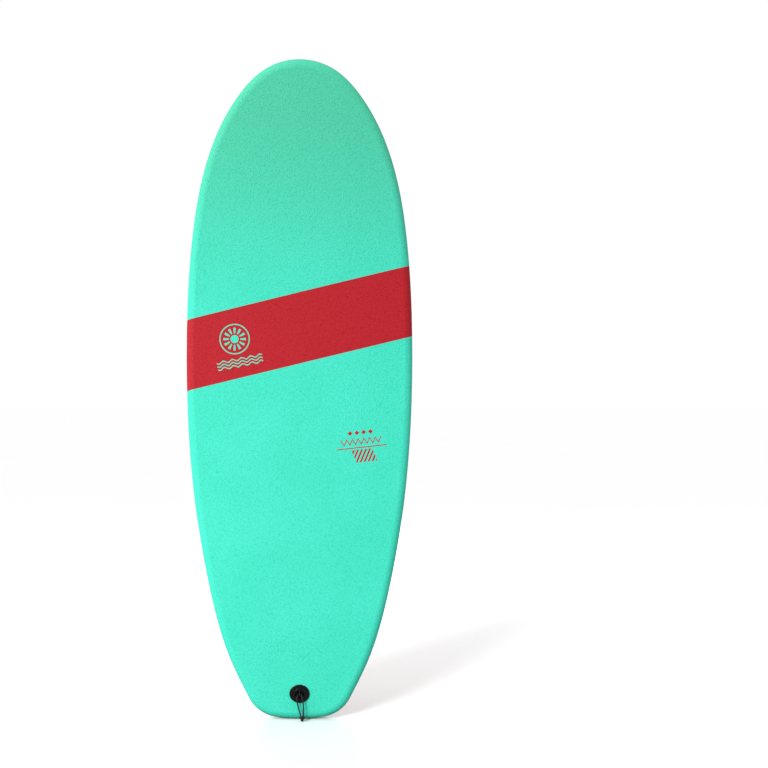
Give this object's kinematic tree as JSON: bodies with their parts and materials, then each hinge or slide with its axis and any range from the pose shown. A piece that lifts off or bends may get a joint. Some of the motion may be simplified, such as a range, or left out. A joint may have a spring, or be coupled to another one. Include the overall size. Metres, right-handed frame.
{
  "type": "soft-top surfboard",
  "caption": "Short wide soft-top surfboard with a foam deck, printed slick bottom, three fin boxes and a leash plug.",
  "frame": {"origin": "middle of the board's box at its lowest point, the tail; the board stands on its tail", "axes": "+Z from tail to nose, -Y out of the deck, +Y out of the bottom, X across the board"},
  "size_m": [0.5132, 0.1262, 1.473],
  "materials": {
    "deck_foam": "pebbled closed-cell foam, matte",
    "strip": "satin",
    "slick": "glossy printed sheet",
    "core_foam": "beaded foam",
    "stringer_wood": "sanded",
    "fin_plastic": "matte",
    "housing_plastic": "matte",
    "brass": "knurled",
    "steel": "satin",
    "plug_plastic": "satin",
    "gasket_foam": "matte",
    "cord": "braided"
  },
  "bodies": {
    "board": {"deck_skin": "deck_foam", "rail_strip": "strip", "bottom_sheet": "slick", "core_left": "core_foam", "core_center": "core_foam", "core_right": "core_foam", "stringer_left": "stringer_wood", "stringer_right": "stringer_wood", "fin_plate_left": "fin_plastic", "fin_housing_left": "housing_plastic", "fin_plate_right": "fin_plastic", "fin_housing_right": "housing_plastic", "fin_plate_center": "fin_plastic", "fin_housing_center": "housing_plastic", "screw_inserts": "brass", "leash_cup": "plug_plastic", "leash_pin": "steel", "cup_gasket": "gasket_foam", "leash_base": "plug_plastic", "leash_bolt": "steel", "leash_string": "cord", "leash_knot": "cord"},
    "screw_left_low": {"grub_screw_left_low": "steel"},
    "screw_left_high": {"grub_screw_left_high": "steel"},
    "screw_right_low": {"grub_screw_right_low": "steel"},
    "screw_right_high": {"grub_screw_right_high": "steel"},
    "screw_center_low": {"grub_screw_center_low": "steel"},
    "screw_center_high": {"grub_screw_center_high": "steel"}
  },
  "joints": [
    {"name": "clamp_left_low", "type": "slide", "parent": "board", "child": "screw_left_low", "axis": [-0.4226, -0.9047, 0.0539], "range_m": [0, 0.0035]},
    {"name": "clamp_left_high", "type": "slide", "parent": "board", "child": "screw_left_high", "axis": [-0.4226, -0.9047, 0.0539], "range_m": [0, 0.0035]},
    {"name": "clamp_right_low", "type": "slide", "parent": "board", "child": "screw_right_low", "axis": [0.4226, -0.9047, 0.0539], "range_m": [0, 0.0035]},
    {"name": "clamp_right_high", "type": "slide", "parent": "board", "child": "screw_right_high", "axis": [0.4226, -0.9047, 0.0539], "range_m": [0, 0.0035]},
    {"name": "clamp_center_low", "type": "slide", "parent": "board", "child": "screw_center_low", "axis": [0.4226, -0.904, 0.0647], "range_m": [0, 0.0035]},
    {"name": "clamp_center_high", "type": "slide", "parent": "board", "child": "screw_center_high", "axis": [0.4226, -0.904, 0.0647], "range_m": [0, 0.0035]}
  ]
}
